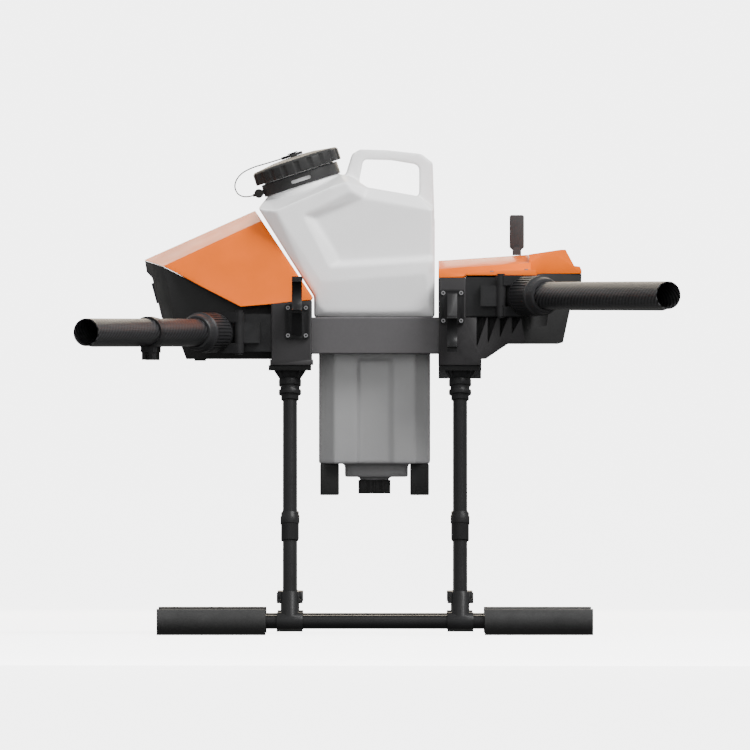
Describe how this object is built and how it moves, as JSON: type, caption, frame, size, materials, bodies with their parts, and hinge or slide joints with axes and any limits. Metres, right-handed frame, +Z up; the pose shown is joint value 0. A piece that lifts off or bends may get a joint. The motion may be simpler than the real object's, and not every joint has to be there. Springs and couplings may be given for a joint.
{
  "type": "agricultural spray drone",
  "caption": "Foldable quadcopter airframe for crop spraying: lift-out tank, splayed legs on skids, four folding carbon arms with locking collars, orange covers.",
  "frame": {"origin": "on the ground under the middle of the airframe, midway between the front and rear arm tips", "axes": "-X is the nose, -Y the left side, +Z up"},
  "size_m": [0.8698, 1.2064, 0.7062],
  "materials": {
    "carbon_arm": "woven carbon, satin clear coat",
    "carbon_tube": "carbon, satin",
    "grey_alloy": "satin grey anodised",
    "grey_plastic": "matt",
    "bracket_plastic": "fine-grained glass-filled nylon",
    "orange_cover": "semi-gloss moulded",
    "black_shell": "matt moulded",
    "black_casting": "matt casting",
    "collar_plastic": "ribbed nylon",
    "clip_plastic": "satin nylon",
    "steel": "zinc plated",
    "leg_fittings": "satin nylon",
    "foam": "closed-cell foam",
    "soft_rubber": "matt rubber",
    "tank_polyethylene": "blow-moulded, soft satin",
    "lid_plastic": "satin moulded",
    "tether_cord": "satin",
    "antenna_plastic": "satin",
    "deck_plate": "carbon plate",
    "electronics": "matt",
    "circuit_board": "solder mask",
    "connector": "nylon"
  },
  "bodies": {
    "airframe": {"antenna_base": "antenna_plastic", "arm_clips": "clip_plastic", "arm_root_front_left": "black_casting", "arm_root_front_right": "black_casting", "arm_root_rear_left": "black_casting", "arm_root_rear_right": "black_casting", "avionics_deck": "deck_plate", "battery_connector": "connector", "brackets": "bracket_plastic", "clip_screws": "steel", "cover_screws": "steel", "cross_tubes": "grey_alloy", "flight_controller": "electronics", "front_cover": "orange_cover", "front_shell": "black_shell", "hinge_pins": "black_casting", "leg_nuts": "leg_fittings", "leg_sleeves": "leg_fittings", "leg_sockets": "leg_fittings", "leg_tubes_lower": "carbon_tube", "leg_tubes_upper": "carbon_tube", "nose_camera": "electronics", "power_board": "circuit_board", "pump_housing": "grey_plastic", "pump_motor": "steel", "rear_cover": "orange_cover", "rear_shell": "black_shell", "side_beams": "grey_alloy", "skid_foams": "foam", "skid_plugs": "soft_rubber", "skid_tees": "leg_fittings", "skid_tubes": "carbon_tube"},
    "arm_front_left": {"arm_ferrule_front_left": "black_casting", "arm_tube_front_left": "carbon_arm", "hose_clip_left": "clip_plastic"},
    "collar_front_left": {"locking_collar_front_left": "collar_plastic"},
    "arm_front_right": {"arm_ferrule_front_right": "black_casting", "arm_tube_front_right": "carbon_arm", "hose_clip_right": "clip_plastic"},
    "collar_front_right": {"locking_collar_front_right": "collar_plastic"},
    "arm_rear_left": {"arm_ferrule_rear_left": "black_casting", "arm_tube_rear_left": "carbon_arm"},
    "collar_rear_left": {"locking_collar_rear_left": "collar_plastic"},
    "arm_rear_right": {"arm_ferrule_rear_right": "black_casting", "arm_tube_rear_right": "carbon_arm"},
    "collar_rear_right": {"locking_collar_rear_right": "collar_plastic"},
    "tank": {"tank_upper": "tank_polyethylene", "tank_lower": "tank_polyethylene", "tank_neck": "tank_polyethylene", "tank_handle": "tank_polyethylene", "tank_feet": "soft_rubber", "neck_ring": "lid_plastic", "tether_knob": "lid_plastic"},
    "lid_swivel": {"tether_swivel": "lid_plastic", "tether": "tether_cord"},
    "lid": {"lid": "lid_plastic", "lid_seal": "soft_rubber"},
    "drain_cap": {"drain_cap": "lid_plastic", "drain_gasket": "soft_rubber"},
    "antenna": {"antenna_paddle": "antenna_plastic"}
  },
  "joints": [
    {"name": "arm_fold_front_left", "type": "hinge", "parent": "airframe", "child": "arm_front_left", "pos_m": [-0.1994, -0.195, 0.4367], "axis": [0, 0, 1], "range_deg": [0, 114]},
    {"name": "collar_turn_front_left", "type": "hinge", "parent": "arm_front_left", "child": "collar_front_left", "pos_m": [-0.24449, -0.20776, 0.4367], "axis": [-0.4067, -0.9135, 0], "range_deg": [0, 60]},
    {"name": "arm_fold_front_right", "type": "hinge", "parent": "airframe", "child": "arm_front_right", "pos_m": [-0.1994, 0.195, 0.4367], "axis": [0, 0, -1], "range_deg": [0, 114]},
    {"name": "collar_turn_front_right", "type": "hinge", "parent": "arm_front_right", "child": "collar_front_right", "pos_m": [-0.24449, 0.20776, 0.4367], "axis": [-0.4067, 0.9135, 0], "range_deg": [0, 60]},
    {"name": "arm_fold_rear_left", "type": "hinge", "parent": "airframe", "child": "arm_rear_left", "pos_m": [0.1786, -0.195, 0.4898], "axis": [0, 0, -1], "range_deg": [0, 117]},
    {"name": "collar_turn_rear_left", "type": "hinge", "parent": "arm_rear_left", "child": "collar_rear_left", "pos_m": [0.2243, -0.20539, 0.4898], "axis": [0.454, -0.891, 0], "range_deg": [0, 60]},
    {"name": "arm_fold_rear_right", "type": "hinge", "parent": "airframe", "child": "arm_rear_right", "pos_m": [0.1786, 0.195, 0.4898], "axis": [0, 0, 1], "range_deg": [0, 117]},
    {"name": "collar_turn_rear_right", "type": "hinge", "parent": "arm_rear_right", "child": "collar_rear_right", "pos_m": [0.2243, 0.20539, 0.4898], "axis": [0.454, 0.891, 0], "range_deg": [0, 60]},
    {"name": "tank_lift", "type": "slide", "parent": "airframe", "child": "tank", "axis": [0, 0, 1], "range_m": [0, 0.265]},
    {"name": "lid_lift", "type": "slide", "parent": "tank", "child": "lid_swivel", "axis": [-0.309, 0, 0.9511], "range_m": [0, 0.06]},
    {"name": "lid_turn", "type": "hinge", "parent": "lid_swivel", "child": "lid", "pos_m": [-0.1137, 0, 0.6692], "axis": [-0.309, 0, 0.9511], "range_deg": [0, 120]},
    {"name": "drain_cap_turn", "type": "hinge", "parent": "tank", "child": "drain_cap", "pos_m": [-0.0041, 0, 0.2136], "axis": [0, 0, 1], "range_deg": [0, 270]},
    {"name": "antenna_tilt", "type": "hinge", "parent": "airframe", "child": "antenna", "pos_m": [0.2024, 0, 0.5555], "axis": [0, -1, 0], "range_deg": [-45, 45]}
  ]
}
